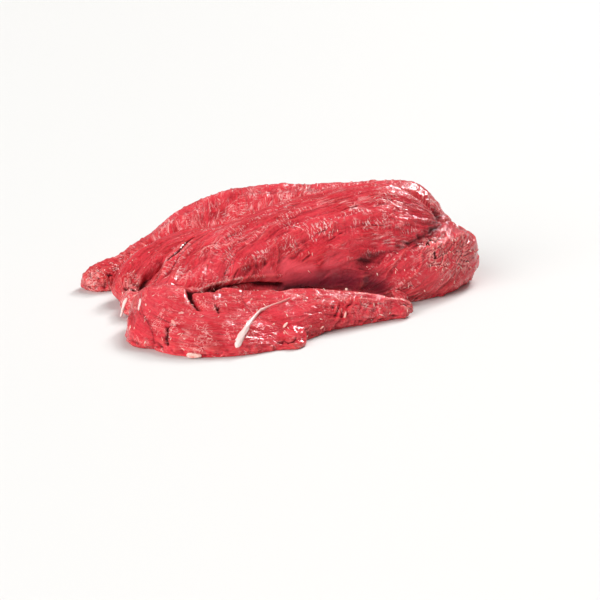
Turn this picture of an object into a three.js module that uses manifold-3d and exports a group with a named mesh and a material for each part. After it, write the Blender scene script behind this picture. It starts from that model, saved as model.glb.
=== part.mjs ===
// A whole raw beef tenderloin, trimmed and lying as a butcher folds it: the thick head to the right,
// the narrow tail turned under at the left and brought back along the front, and the side strap behind.
// It is one solid of millimetres, +Z up, with the middle of its resting face at the origin.

import * as THREE from "three";
import { mergeVertices } from "three/addons/utils/BufferGeometryUtils.js";
import Module from "manifold-3d";

const wasm = await Module();
wasm.setup();

// The middle of the base, in the drawing that the muscles below are laid out in.
const BASE_MIDDLE = { x: -14.7, y: -41.2 };

const FACET_ALONG = 8; // a facet's side along the fibres
const FACET_AROUND = 5; // and across them
const LEAST_SIDES = 6; // round the thinnest bundle
const RINGS_MORE = 4; // for the rounded ends
const MOST_SPAN = 400; // wider and longer than the meat

// The bundles of fibre round a muscle come in three sets, each finer and lower than the one before.
// height is a share of the muscle's depth, and wander how far along it a bundle drifts and returns.
const BUNDLE_SETS = [
  { count: (ridges) => ridges, height: 0.7, wander: 34 },
  { count: (ridges) => ridges + 4, height: 0.47, wander: 27 },
  { count: (ridges) => 2 * ridges + 3, height: 0.35, wander: 20 },
];
const DRIFT = 1.4; // radians round the muscle that a bundle wanders
const LUMP_HEIGHT = 0.8; // a share of the depth that the whole muscle swells along its length
const LUMP_LENGTH = 17;
const DRAWS = 9; // random draws kept for each muscle, of which two a set and one more are used

const UP = new THREE.Vector3(0, 0, 1);

// Each muscle is a rounded bundle that follows a centre line between its two tips.
// A stop is [x, y, z, half width, half height, roll in degrees, squareness], and ends the share of the
// length that each tip takes to round off.
// ridges is how many bundles of fibre stand round it, and depth how far they swell.
const MUSCLES = {
  loin: {
    ends: [0.16, 0.14],
    ridges: 7,
    depth: 1.1,
    stops: [
      [91, 20, 42, 36, 29, 0, 2.3],
      [55, 12, 36, 41, 35, 0, 2.3],
      [10, -8, 33, 45, 34, 0, 2.3],
      [-36, -30, 26, 40, 27, 0, 2.4],
      [-64, -58, 20, 30, 21, 0, 2.6],
      [-75, -98, 11, 24, 15, 0, 2.6],
      [-70, -140, 7, 22, 12, 0, 2.5],
    ],
  },
  fold: {
    ends: [0.2, 0.2],
    ridges: 5,
    depth: 0.9,
    stops: [
      [-82, -78, 9, 16, 11, 0, 2.6],
      [-77, -112, 10, 24, 13, 4, 2.8],
      [-58, -130, 8.5, 37, 13, 10, 2.7],
      [-32, -120, 7, 36.5, 12.5, 15, 2.5],
      [-8, -102, 7, 20, 10, 12, 2.6],
    ],
  },
  heel: {
    ends: [0.3, 0.3],
    ridges: 4,
    depth: 0.6,
    stops: [
      [-94, -84, 9, 10, 10, 0, 2.4],
      [-94, -110, 7, 12.5, 11, 0, 2.6],
      [-90, -132, 6, 15, 9, 0, 2.8],
      [-80, -149, 5, 14, 8.5, 0, 2.8],
    ],
  },
  tail: {
    ends: [0.14, 0.08],
    ridges: 6,
    depth: 0.8,
    stops: [
      [-49, -118, 9, 31, 13, 12, 2.6],
      [-31, -118, 7.5, 30, 13, 17, 2.5],
      [-15, -112, 8.5, 26, 12.5, 19, 2.4],
      [5, -98, 9.5, 19, 11.5, 16, 2.4],
      [28, -87, 8, 13.5, 9.5, 12, 2.4],
      [50, -77, 6.5, 9, 8, 8, 2.3],
      [70, -71, 5, 6, 6, 0, 2.2],
    ],
  },
  strap: {
    ends: [0.12, 0.06],
    ridges: 5,
    depth: 0.9,
    stops: [
      [105, 46, 36, 28, 28, 0, 2.3],
      [70, 50, 33, 30, 34, 0, 2.3],
      [30, 52, 32, 30, 33, 0, 2.3],
      [-30, 50, 32, 28, 32, 0, 2.4],
      [-58, 46, 29, 26, 30, 0, 2.6],
      [-82, 41, 23, 23, 24.5, 0, 2.4],
      [-106, 34, 14, 19, 18.5, 0, 2.3],
      [-127, 19, 8, 14, 11, 0, 2.3],
      [-150, -5, 4, 12, 8.5, 0, 2.4],
    ],
  },
  side: {
    ends: [0.2, 0.22],
    ridges: 5,
    depth: 0.7,
    stops: [
      [-50, 10, 34, 20, 12, 0, 2.4],
      [-80, -2, 29, 21, 13, 0, 2.4],
      [-99, -18, 21, 21, 13, 0, 2.4],
      [-111, -36, 11, 17, 11, 0, 2.4],
      [-114, -52, 6, 12, 8, 0, 2.4],
    ],
  },
  head: {
    ends: [0.24, 0.2],
    ridges: 7,
    depth: 0.9,
    stops: [
      [86, 56, 28, 20, 22, 0, 2.1],
      [100, 35, 19, 25, 24, 0, 2.1],
      [86, 12, 17, 30, 25, 0, 2.5],
      [58, -13, 15, 30, 23, 0, 2.7],
      [8, -34, 12, 22, 15, 0, 2.3],
    ],
  },
  scrap: {
    ends: [0.3, 0.3],
    ridges: 3,
    depth: 0.5,
    stops: [
      [-104, -43, 8, 12, 9, 0, 2.3],
      [-106, -60, 7, 13, 8, 0, 2.4],
      [-100, -80, 6, 13, 7, 0, 2.4],
    ],
  },
  // The white end of tendon that crosses the tail.
  tendon: {
    ends: [0.1, 0.1],
    ridges: 0,
    depth: 0,
    stops: [
      [-38.2, -163, 4.4, 3, 2.8, 0, 2],
      [-36.6, -159, 8.3, 3, 2.8, 0, 2],
      [-34.2, -153, 11.9, 2.6, 2.6, 0, 2],
      [-31, -144, 14.9, 2.3, 2.4, 0, 2],
      [-29, -132.5, 16.2, 2.1, 2.2, 0, 2],
      [-24.5, -124, 17.9, 1.8, 2, 0, 2],
      [-14, -114.2, 20.1, 1.6, 2, 0, 2],
      [-7, -107, 21.3, 1.4, 2, 0, 2],
    ],
  },
  // What lies deep between the loin, the side and the strap and holds them together.
  web: {
    ends: [0.16, 0.14],
    ridges: 3,
    depth: 0.6,
    stops: [
      [-122, 8, 5, 16, 8, 0, 3],
      [-90, 14, 12, 27, 14, 0, 4],
      [-56, 20, 18, 34, 19, 0, 4],
      [-10, 26, 24, 30, 25, 0, 4],
      [40, 34, 27, 26, 28, 0, 4],
      [88, 40, 30, 22, 28, 0, 3],
    ],
  },
  // The underside of the loin, which its weight has spread on the table.
  sole: {
    ends: [0.12, 0.12],
    ridges: 3,
    depth: 0.4,
    stops: [
      [84, 8, 9, 28, 10, 0, 4],
      [10, -12, 9, 36, 11, 0, 4],
      [-36, -34, 9, 34, 11, 0, 4],
      [-66, -62, 8, 28.5, 10, 0, 4],
      [-70, -122, 6, 24, 8, 0, 4],
    ],
  },
  // The squared front corner of the folded tail.
  flap: {
    ends: [0.3, 0.26],
    ridges: 2,
    depth: 0.4,
    stops: [
      [-46, -133, 5.5, 22, 9, 15, 2.7],
      [-22, -130, 5, 22, 8, 19, 2.7],
      [2, -125, 5, 21.5, 7, 19, 2.7],
    ],
  },
  // The lower front of the loin, which hangs down over the tail.
  drape: {
    ends: [0.16, 0.2],
    ridges: 2,
    depth: 0.4,
    stops: [
      [-78, -103, 16, 12, 9, 15, 2.4],
      [-65, -88, 22, 13, 9, 32, 2.4],
      [-53.5, -75.5, 27, 14, 8, 48, 2.3],
      [-32.5, -59, 32, 17, 8, 58, 2.2],
      [-13, -49.5, 36.5, 23, 8, 64, 2.2],
      [10, -42.5, 35, 24, 8, 63, 2.2],
      [32, -35.5, 32, 24, 9, 61, 2.2],
      [51, -28.5, 30, 22, 9, 58, 2.2],
    ],
  },
};

// A repeatable turn round the circle from a whole number, by a sine too fast to show its own pattern.
function drawTurn(seed) {
  const wave = Math.sin(seed * 127.1 + 11.7) * 43758.5453;
  return 2 * Math.PI * (wave - Math.floor(wave));
}

// How far a muscle swells (+) or sinks (-) at a place along it, in millimetres, and round it, in radians.
function swell(along, angle, { ridges, depth }, seed) {
  const first = seed * DRAWS;
  const sets = BUNDLE_SETS.length;
  const bundles = BUNDLE_SETS.map(({ count, height, wander }, i) => {
    const drift = DRIFT * Math.sin(along / wander + drawTurn(first + sets + i));
    return height * Math.sin(count(ridges) * angle + drawTurn(first + i) + drift);
  });
  const phase = drawTurn(first + 2 * sets) + Math.sin(angle + seed);
  const lump = LUMP_HEIGHT * Math.sin(along / LUMP_LENGTH + phase);
  return depth * bundles.reduce((sum, next) => sum + next, lump);
}

// How far along the muscle and how wide a ring is: both ends close as a quarter of an ellipse.
function ring(share, [first, last]) {
  if (share < first) {
    const turn = (share / first) * (Math.PI / 2);
    return { along: first * (1 - Math.cos(turn)), width: Math.sin(turn) };
  }
  if (share > 1 - last) {
    const turn = ((1 - share) / last) * (Math.PI / 2);
    return { along: 1 - last * (1 - Math.cos(turn)), width: Math.sin(turn) };
  }
  return { along: share, width: 1 };
}

// The rounded section between an ellipse (2) and a box (large).
function section(angle, squareness) {
  const bend = (value) => Math.sign(value) * Math.abs(value) ** (2 / squareness);
  return { across: bend(Math.cos(angle)), up: bend(Math.sin(angle)) };
}

function muscle(form, seed) {
  const { stops, ends } = form;
  const curve = (from) => {
    const points = stops.map((stop) => new THREE.Vector3(...stop.slice(from, from + 3)));
    return new THREE.CatmullRomCurve3(points);
  };
  const line = curve(0);
  const girth = curve(3);
  const corner = new THREE.SplineCurve(stops.map((stop, i) => new THREE.Vector2(i, stop[6])));
  const widest = Math.max(...stops.map(([, , , a, b]) => Math.PI * (a + b)));
  const length = line.getLength();
  const around = Math.max(LEAST_SIDES, Math.ceil(widest / FACET_AROUND));
  const rings = Math.ceil(length / FACET_ALONG) + RINGS_MORE;
  const shape = new THREE.SphereGeometry(1, around, rings);
  const place = shape.getAttribute("position");
  for (let i = 0; i < place.count; i++) {
    const angle = (2 * Math.PI * ((i % (around + 1)) % around)) / around;
    const { along, width } = ring(Math.floor(i / (around + 1)) / rings, ends);
    const centre = line.getPoint(along);
    const [a, b, roll] = girth.getPoint(along).toArray();
    const tangent = line.getTangent(along);
    const across = new THREE.Vector3().crossVectors(tangent, UP).normalize();
    across.applyAxisAngle(tangent, THREE.MathUtils.degToRad(roll));
    const up = new THREE.Vector3().crossVectors(across, tangent);
    const out = section(angle, corner.getPoint(along).y);
    const proud = swell(along * length, angle, form, seed);
    centre.addScaledVector(across, (a + proud) * width * out.across);
    centre.addScaledVector(up, (b + proud) * width * out.up);
    place.setXYZ(i, centre.x, centre.y, centre.z);
  }
  return shape;
}

// A closed geometry becomes a solid, once the seam and the poles share their vertices.
function solid(geometry) {
  geometry.deleteAttribute("normal");
  geometry.deleteAttribute("uv");
  const merged = mergeVertices(geometry, 1e-3);
  return new wasm.Manifold(
    new wasm.Mesh({
      numProp: 3,
      vertProperties: new Float32Array(merged.getAttribute("position").array),
      triVerts: new Uint32Array(merged.index.array),
    }),
  );
}

function geometryOf(body) {
  const { vertProperties, triVerts } = body.getMesh();
  return new THREE.BufferGeometry()
    .setAttribute("position", new THREE.BufferAttribute(vertProperties, 3))
    .setIndex(new THREE.BufferAttribute(triVerts, 1));
}

// The muscles join where they press together, and the meat's own weight flattens it against the table.
function tenderloin() {
  const bundles = Object.values(MUSCLES).map((form, i) => solid(muscle(form, i + 1)));
  const joined = bundles.reduce((sum, next) => sum.add(next));
  const table = new THREE.BoxGeometry(MOST_SPAN, MOST_SPAN, MOST_SPAN).translate(0, 0, -MOST_SPAN / 2);
  return geometryOf(joined.subtract(solid(table)));
}

const rawBeef = new THREE.MeshStandardMaterial({ color: 0xc23a42, roughness: 0.42, metalness: 0 });

const part = new THREE.Group();
const meat = new THREE.Mesh(tenderloin().translate(-BASE_MIDDLE.x, -BASE_MIDDLE.y, 0), rawBeef);
meat.name = "tenderloin";
part.add(meat);

export default part;
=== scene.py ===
# The looks of a whole raw beef tenderloin, trimmed and lying folded: moist red muscle with its fibres,
# torn edges, silvery film, a white strip of tendon and scraps of fat.

import itertools
import math

import bmesh
import bpy
import numpy as np
from mathutils import Matrix, Quaternion, Vector


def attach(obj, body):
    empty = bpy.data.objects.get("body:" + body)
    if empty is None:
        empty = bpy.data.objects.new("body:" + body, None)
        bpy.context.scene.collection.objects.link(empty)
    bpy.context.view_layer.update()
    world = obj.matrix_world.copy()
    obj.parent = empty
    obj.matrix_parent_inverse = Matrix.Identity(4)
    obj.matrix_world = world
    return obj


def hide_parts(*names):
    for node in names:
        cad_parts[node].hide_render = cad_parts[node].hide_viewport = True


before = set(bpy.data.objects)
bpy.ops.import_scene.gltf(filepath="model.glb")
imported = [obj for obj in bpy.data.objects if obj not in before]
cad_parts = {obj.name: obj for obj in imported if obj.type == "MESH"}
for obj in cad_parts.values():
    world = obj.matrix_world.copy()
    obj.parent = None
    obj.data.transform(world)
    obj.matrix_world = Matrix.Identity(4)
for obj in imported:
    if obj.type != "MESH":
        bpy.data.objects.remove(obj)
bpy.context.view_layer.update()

# Shapes are worked out in the drawing's millimetres: x to the right, y away, z up from the table.
MM = 0.001
BASE_MIDDLE = np.array([-14.7, -41.2, 0.0])  # the middle of the base, in the drawing
UP = np.array([0.0, 0.0, 1.0])

def form(seed, ends, ridges, depth, *stops):
    """One muscle or scrap as a record."""
    return {"seed": seed, "ends": ends, "ridges": ridges, "depth": depth, "stops": stops}


# Each muscle's number for its own noise, the share of the length that each tip takes to round off, how many
# bundles stand round it and how far, and then its stops: x, y, z, half width, half height, roll in degrees
# and squareness.
MUSCLES = {
    "loin": form(
        1, (0.16, 0.14), 7, 1.1,
        (91, 20, 42, 36, 29, 0, 2.3),
        (55, 12, 36, 41, 35, 0, 2.3),
        (10, -8, 33, 45, 34, 0, 2.3),
        (-36, -30, 26, 40, 27, 0, 2.4),
        (-64, -58, 20, 30, 21, 0, 2.6),
        (-75, -98, 11, 24, 15, 0, 2.6),
        (-70, -140, 7, 22, 12, 0, 2.5),
    ),
    "fold": form(
        2, (0.2, 0.2), 5, 0.9,
        (-82, -78, 9, 16, 11, 0, 2.6),
        (-77, -112, 10, 24, 13, 4, 2.8),
        (-58, -130, 8.5, 37, 13, 10, 2.7),
        (-32, -120, 7, 36.5, 12.5, 15, 2.5),
        (-8, -102, 7, 20, 10, 12, 2.6),
    ),
    "heel": form(
        3, (0.3, 0.3), 4, 0.6,
        (-94, -84, 9, 10, 10, 0, 2.4),
        (-94, -110, 7, 12.5, 11, 0, 2.6),
        (-90, -132, 6, 15, 9, 0, 2.8),
        (-80, -149, 5, 14, 8.5, 0, 2.8),
    ),
    "tail": form(
        4, (0.14, 0.08), 6, 0.8,
        (-49, -118, 9, 31, 13, 12, 2.6),
        (-31, -118, 7.5, 30, 13, 17, 2.5),
        (-15, -112, 8.5, 26, 12.5, 19, 2.4),
        (5, -98, 9.5, 19, 11.5, 16, 2.4),
        (28, -87, 8, 13.5, 9.5, 12, 2.4),
        (50, -77, 6.5, 9, 8, 8, 2.3),
        (70, -71, 5, 6, 6, 0, 2.2),
    ),
    "strap": form(
        5, (0.12, 0.06), 5, 0.9,
        (105, 46, 36, 28, 28, 0, 2.3),
        (70, 50, 33, 30, 34, 0, 2.3),
        (30, 52, 32, 30, 33, 0, 2.3),
        (-30, 50, 32, 28, 32, 0, 2.4),
        (-58, 46, 29, 26, 30, 0, 2.6),
        (-82, 41, 23, 23, 24.5, 0, 2.4),
        (-106, 34, 14, 19, 18.5, 0, 2.3),
        (-127, 19, 8, 14, 11, 0, 2.3),
        (-150, -5, 4, 12, 8.5, 0, 2.4),
    ),
    "side": form(
        6, (0.2, 0.22), 5, 0.7,
        (-50, 10, 34, 20, 12, 0, 2.4),
        (-80, -2, 29, 21, 13, 0, 2.4),
        (-99, -18, 21, 21, 13, 0, 2.4),
        (-111, -36, 11, 17, 11, 0, 2.4),
        (-114, -52, 6, 12, 8, 0, 2.4),
    ),
    "head": form(
        7, (0.24, 0.2), 7, 0.9,
        (86, 56, 28, 20, 22, 0, 2.1),
        (100, 35, 19, 25, 24, 0, 2.1),
        (86, 12, 17, 30, 25, 0, 2.5),
        (58, -13, 15, 30, 23, 0, 2.7),
        (8, -34, 12, 22, 15, 0, 2.3),
    ),
    "scrap": form(
        8, (0.3, 0.3), 3, 0.5,
        (-104, -43, 8, 12, 9, 0, 2.3),
        (-106, -60, 7, 13, 8, 0, 2.4),
        (-100, -80, 6, 13, 7, 0, 2.4),
    ),
    "tendon": form(
        9, (0.1, 0.1), 2, 0.2,
        (-38.6, -163, 4.4, 2.2, 1.8, 0, 2),
        (-37.4, -159, 8.3, 3, 2, 0, 2),
        (-34.6, -153, 11.9, 2.2, 1.8, 0, 2),
        (-31.6, -144, 14.9, 1.5, 1.5, 0, 2),
        (-28.6, -132.5, 16.2, 1.1, 1.3, 0, 2),
        (-25, -124, 17.9, 0.9, 1.1, 0, 2),
        (-14, -114.2, 20.1, 0.6, 1, 0, 2),
        (-7, -107, 21.3, 0.5, 0.9, 0, 2),
    ),
    "web": form(
        10, (0.16, 0.14), 3, 0.6,
        (-122, 8, 5, 16, 8, 0, 3),
        (-90, 14, 12, 27, 14, 0, 4),
        (-56, 20, 18, 34, 19, 0, 4),
        (-10, 26, 24, 30, 25, 0, 4),
        (40, 34, 27, 26, 28, 0, 4),
        (88, 40, 30, 22, 28, 0, 3),
    ),
    "sole": form(
        11, (0.12, 0.12), 3, 0.4,
        (84, 8, 9, 28, 10, 0, 4),
        (10, -12, 9, 36, 11, 0, 4),
        (-36, -34, 9, 34, 11, 0, 4),
        (-66, -62, 8, 28.5, 10, 0, 4),
        (-70, -122, 6, 24, 8, 0, 4),
    ),
    "flap": form(
        12, (0.3, 0.26), 2, 0.4,
        (-46, -133, 5.5, 22, 9, 15, 2.7),
        (-22, -130, 5, 22, 8, 19, 2.7),
        (2, -125, 5, 21.5, 7, 19, 2.7),
    ),
    "drape": form(
        13, (0.16, 0.24), 2, 0.4,
        (-78, -103, 16, 12, 9, 15, 2.4),
        (-65, -88, 22, 13, 9, 32, 2.4),
        (-53.5, -75.5, 27, 14, 8, 48, 2.3),
        (-32.5, -59, 32, 17, 8, 58, 2.2),
        (-13, -49.5, 36.5, 23, 8, 64, 2.2),
        (10, -42.5, 35, 24, 8, 63, 2.2),
        (32, -34.5, 32, 24, 8, 61, 2.2),
        (54, -22, 30, 19, 5, 58, 2.2),
    ),
}

# Small things that lie on the meat, drawn as muscles are: strings of fat, scraps and a bead of it.
BITS = {
    "long_string": form(
        21, (0.2, 0.1), 0, 0,
        (-112.3, -74, 12.8, 1.3, 1, 0, 2),
        (-113.8, -75.8, 9, 1.1, 0.9, 0, 2),
        (-114.9, -76.2, 5.5, 0.9, 0.8, 0, 2),
        (-115.5, -76.4, 3, 0.8, 0.7, 0, 2),
        (-116.3, -76.8, 0.9, 0.7, 0.6, 0, 2),
    ),
    "short_string": form(
        22, (0.2, 0.2), 0, 0,
        (-99, -106, 22, 0.8, 0.8, 0, 2),
        (-98.6, -114.6, 20.8, 1, 0.9, 0, 2),
        (-98.8, -120, 19.4, 0.9, 0.8, 0, 2),
        (-99.2, -124.5, 17.4, 0.6, 0.6, 0, 2),
    ),
    "tongue": form(
        23, (0.3, 0.3), 2, 0.3,
        (58, -46, 11, 3, 1.4, 0, 2),
        (64, -48, 8, 5, 1.2, 20, 2),
        (69, -48, 6.5, 3.5, 0.9, 30, 2),
    ),
    "lump": form(
        24, (0.4, 0.4), 3, 0.3,
        (61, -48, 3, 2.4, 2.4, 0, 2),
        (66, -49, 3.2, 3, 2.8, 0, 2),
        (71, -47, 3, 2, 2, 0, 2),
    ),
    "edge_fat": form(
        25, (0.3, 0.3), 2, 0.2,
        (-67, -165, 1.6, 1.2, 1.1, 0, 2),
        (-63, -167, 1.9, 1.6, 1.5, 0, 2),
        (-58, -167, 1.6, 1.1, 1.1, 0, 2),
    ),
    "bead": form(26, (0.5, 0.5), 0, 0, (26.6, -82.5, 20, 1.1, 1, 0, 2), (28.2, -82.1, 20.2, 1, 0.9, 0, 2)),
}
FORMS = {**MUSCLES, **BITS}

# How rough each surface is: the height in mm of its fibre bundles, its finer strands, the ripples across
# them and the fissures along them, and from 0 to 1 how far it is torn to crumbs, how thick the pale dashes
# stand that cross the fibres (partly painted glints), the pale streaks that follow them, and the pale net of
# loose fibre.
GRAIN = {
    "loin": (0.5, 0.2, 0.3, 0.8, 0.03, 0.5, 0.55, 0.1),
    "fold": (0.2, 0.14, 0.15, 0.5, 0.12, 0.2, 0.3, 0.7),
    "heel": (0.45, 0.18, 0.15, 0.5, 0.05, 0.2, 0.5, 0.4),
    "tail": (0.35, 0.18, 0.1, 0.6, 0.12, 0.3, 0.25, 0.3),
    "strap": (0.15, 0.18, 0.12, 0.3, 0.05, 0.5, 0.9, 0.2),
    "side": (0.45, 0.2, 0.15, 0.7, 0.05, 0.2, 0.5, 0.2),
    "head": (0.65, 0.24, 0.2, 1.0, 0.08, 0.4, 0.6, 0.3),
    "scrap": (0.2, 0.1, 0.1, 0.4, 0.5, 0.2, 0.3, 1),
    "tendon": (0, 0.12, 0.1, 0, 0.1, 0, 0, 0),
}
SMALL_GRAIN = (0, 0.1, 0.05, 0, 0.2, 0.3, 0.6, 1)  # of the small bits
CRUMB = (2.8, 8)  # the width of a torn crumb across the fibres and its length along them
CRUMB_HEIGHT = 0.9
GRIT_HEIGHT = 0.35
LUMPS = ((27, 1.3), (12, 0.6))  # the size and the height of the soft lumps everywhere
TWIST = {"strap": 1.45, "head": 0.5}  # radians from the muscle's length to its fibres, where they wind round
FILLING = ("sole", "drape", "flap", "web")  # the fibres of these run on from the muscle beside them

# Each piece joins the muscles that run into one another, at the grid in mm that its detail needs,
# and keeps at most so many faces.
PIECES = {
    "loin": (("loin", "sole", "drape"), 0.8, 195_000),
    "folded_tail": (("fold", "heel", "tail", "flap"), 0.7, 195_000),
    "strap": (("strap", "web"), 0.9, 150_000),
    "side_band": (("side", "scrap"), 0.6, 120_000),
    "head": (("head",), 0.7, 160_000),
    "tendon": (("tendon",), 0.35, 30_000),
    "fat_strings": (("long_string", "short_string"), 0.22, 20_000),
    "loose_scrap": (("tongue", "lump"), 0.35, 20_000),
    "fat_bits": (("edge_fat", "bead"), 0.25, 20_000),
}

# Where two muscles of different pieces meet, both rise into a soft fillet (above 0) or sink into a
# groove (below 0): how far from the other muscle this starts, the height in mm and how dark the painted shade
# in the groove is. Where that is only near a place, its middle and radius follow.
JOINS = [
    ("loin", "head", 15, 3.8, 0),
    ("head", "strap", 10, 2.5, 0),
    ("loin", "strap", 5, -2.6, 0.8),
    ("side", "strap", 4, -0.8, 0.4),
    ("loin", "side", 7, -3.5, 1.3),
    ("loin", "scrap", 5, -2, 0.8),
    ("heel", "scrap", 4, -1.5, 0.6),
    ("loin", "fold", 14, 3.5, 0, (-92, -118, 18), 34),
    ("loin", "heel", 10, 2.5, 0),
    ("drape", "fold", 4, -2.4, 1.1, (-20, -86, 20), 62),
    ("drape", "tail", 4.5, -2.4, 1.1),
    ("drape", "head", 10, 1.2, 0),
    ("tail", "head", 5, -1.5, 0.9),
]

def cut(reach, rise, *path, pale=0, purple_and_shade=0, clean=False):
    """A cut, or a lip where it rises, as a record."""
    return {"path": path, "reach": reach, "rise": rise, "pale": pale, "purple_and_shade": purple_and_shade, "clean": clean}


# Cuts and tears (below 0) and lips and seams (above 0) at their own places: how far to each side they reach
# and how far they sink or stand, in mm, the path, and how pale they are, or how violet: partly old blood,
# partly painted shade. The clean ones are as smooth as a knife leaves them, and the others are ragged.
MARKS = [
    # the corner where the folded tail comes out from under the loin
    cut(1.7, -5, (-69.5, -111.5, 23.6), (-68.3, -119, 23.3), (-66.1, -124.2, 22.8), (-61.3, -132.5, 21.2),
        clean=True),
    # the crease between the loin and the tail, and the thin lip that hangs over it
    cut(2.4, -4, (-69, -112, 23.7), (-62.8, -110, 24.4), (-57, -99, 23.8), (-52, -91, 23.2), clean=True),
    cut(1.9, -4, (-52, -91, 23), (-45.9, -83.8, 22.4), (-36.8, -75.6, 21), (-26.3, -67.7, 19.6),
        (-14.8, -61.7, 17.4), clean=True),
    cut(1, 1.2, (-66, -104, 25), (-59, -96.5, 26), (-50.7, -88.2, 26.6), (-45.9, -83.1, 26.8),
        (-36.8, -75.8, 26.4), (-26.2, -68.4, 25.8), (-15, -62.5, 25), pale=0.6, clean=True),
    # the cleft between the loin and the side
    cut(1.2, -1.5, (-72.5, -34, 43.2), (-76.6, -38, 41.8), (-79.5, -48, 39.2), (-83.5, -56, 36.6),
        (-87, -62, 34.5), clean=True),
    cut(3, -5, (-93.3, -36.3, 25.8), (-97, -39.7, 23.2), (-102.5, -44, 19), (-105, -50, 15.3),
        (-105, -58, 15), clean=True),
    # the long crease between the loin and the head, violet partly from painted shade
    cut(5, -1.5, (94, 32, 46.7), (88, -1, 43.1), (83.3, -10.7, 40.2), (75, -21, 37.5), (59, -31.8, 34.3),
        (40, -43, 30), purple_and_shade=0.4),
    # the hollow over the tail, violet from dark tissue and painted shade
    cut(9, -0.5, (-10, -58, 15), (11, -56, 18), (24, -53, 19), (37, -47, 17), (50, -47, 13), purple_and_shade=0.95),
    # notches and small cuts
    cut(1.2, -3, (-51.5, -128, 21.8), (-48.5, -137, 20.4)),
    cut(1.4, -3, (-78.8, -151, 15.7), (-80.2, -156, 10.4), (-79.5, -158, 6.8)),
    cut(1.5, -3, (-151.1, 4.2, 4), (-139.4, -4.2, 8.1), (-131.4, -1.6, 11)),
    cut(1.4, -3, (-117.2, -49.6, 12.7), (-107.8, -62.4, 14.5), (-104.4, -58.1, 15.5)),
    cut(1.3, -2.6, (84, -20, 35.5), (88.5, -25, 29.1)),
    cut(0.8, -1.2, (-13.5, -148.4, 4.1), (-11, -147, 4.8), (-8.8, -148, 3.3)),
    cut(0.8, -1, (-8, -147, 3.6), (-4.7, -145.5, 3.9), (-3.4, -142, 6)),
    # pale edges of the sheets that wrap the muscles
    cut(2, 0.9, (-67.2, -64.1, 40), (-61.6, -60.1, 43), (-36, -59, 45), pale=0.35),
    cut(1.2, 0.5, (-86.7, -83.5, 28.7), (-72.3, -82, 31), pale=0.8),
    cut(1.3, 0.5, (-78, -152.9, 15), (-71.4, -139.9, 20.7), pale=0.7),
]
MARK_WIDER = 1.2  # how much wider than its cut a mark's colour is
DARK_CUT = 3  # mm of depth at which a cut's painted shade is full

# The wrinkles down the front of the tail, in mm: where along it they start and end, over how long they come
# in and go, how far apart they are, how far they lean along it for each mm round it, and how high they are.
PLEATS = {"from": 60, "to": 118, "in": 12, "out": 8, "apart": 6, "slant": -0.6, "depth": 1.1}

# Broad hollows (below 0) and swellings (above 0): the middle, the radius and the height in mm.
DENTS = [((-62, 27, 52), 22, -7), ((-20, 44, 62), 12, -1.5)]
DENT_FALL = 1.6  # a dent's radius over the reach of the hill that draws it

# Patches of torn crumbs, of pale net-like fibre, of smooth flesh and film, and of dense pale streaks along
# the fibres and dashes across them, which are partly painted highlights and glints: the middle (x, y, z) and
# the radius in mm, and the share.
PATCHES = {
    "torn": [
        (88, -22, 30, 19, 1), (108, -4, 28, 20, 0.9), (-145, -5, 5, 16, 0.7), (-114, -46, 15, 12, 0.6),
        (68, -72, 6, 13, 0.9), (-64, -162, 5, 14, 0.5), (-2, -101, 21.5, 7, 0.6), (11, -101, 19.5, 7, 0.6),
        (24, -96, 18, 7, 0.6), (38, -90, 15, 6, 0.5),
    ],
    "pale": [
        (-87, -120, 22, 12, 0.9), (-82, -140, 19, 8, 0.6), (-64, -161, 11, 14, 0.9), (-83, -153, 10, 10, 0.6),
        (-114, -45, 18, 11, 0.9), (-140, -4, 6, 18, 1.2), (-108, -66, 10, 16, 1), (-30, -112, 22, 14, 0.6),
        (-2, -101, 21.5, 9, 1), (11, -101, 19.5, 8, 1), (24, -96, 18, 9, 1), (38, -90, 16, 8, 0.9),
    ],
    "smooth": [
        (-14, -134, 11, 20, 0.9), (-52, -149, 16, 10, 0.8), (34, -46, 41, 14, 0.8), (86, -33, 12, 14, 0.7),
    ],
    "film": [
        (-21, -66, 25, 10, 0.9), (-8, -61, 25, 15, 0.9), (5, -58, 24, 15, 1),
        (18, -55, 24, 14, 0.7), (28, -51, 25, 14, 0.4), (42, -44, 22, 16, 0.2),
    ],
    # dense pale streaks on the wet tops, partly painted highlights
    "streaked_highlights": [
        (3, 46, 63, 9, 1.2), (-13, 36, 61, 7, 0.8), (-25, 33, 59, 7, 0.8), (13, -19, 67, 10, 1),
        (30, -21, 65, 10, 1), (62, -6, 69, 18, 1.9), (80, 2, 66, 14, 1.7), (59, -24, 58, 12, 1.6),
        (54, -30, 54, 8, 1),
        (56, -33, 44, 7, 0.8), (-91, 26, 39, 10, 1.2), (-84, 26, 43, 9, 1.2), (-75, -11, 40, 5, 0.8),
        (-80, -84, 30, 7, 0.9), (-61, 21, 44, 8, 0.9), (30, 49, 64, 12, 0.8), (72, -7, 61, 10, 0.8),
        (83, 43, 63, 12, 0.7), (78, -25, 36, 8, 1), (86, -16, 37, 8, 1), (97, -3, 39, 9, 0.9),
        (108, -1, 34, 10, 0.7), (-2, -101, 21.5, 9, 0.9), (17, -101, 18, 9, 0.9), (42, -89, 15, 9, 0.9),
        (55, -82, 11.5, 7, 0.9),
    ],
    # pale dashes across the fibres, partly painted glints
    "dashed": [
        (-8, -56, 45, 9, 1), (-2, -48, 53, 9, 0.9), (7, -50, 51.5, 8, 1), (-27, -66, 38.5, 9, 1),
        (-12, -42, 57, 10, 0.9), (28, -34, 60, 8, 0.8), (38, -31, 61, 10, 1.2), (35, -40, 53, 9, 0.9),
        (-2, -57, 39, 7, 0.8), (-37, -72, 36, 8, 0.8), (16, -47, 52, 7, 1.2),
    ],
}

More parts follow.
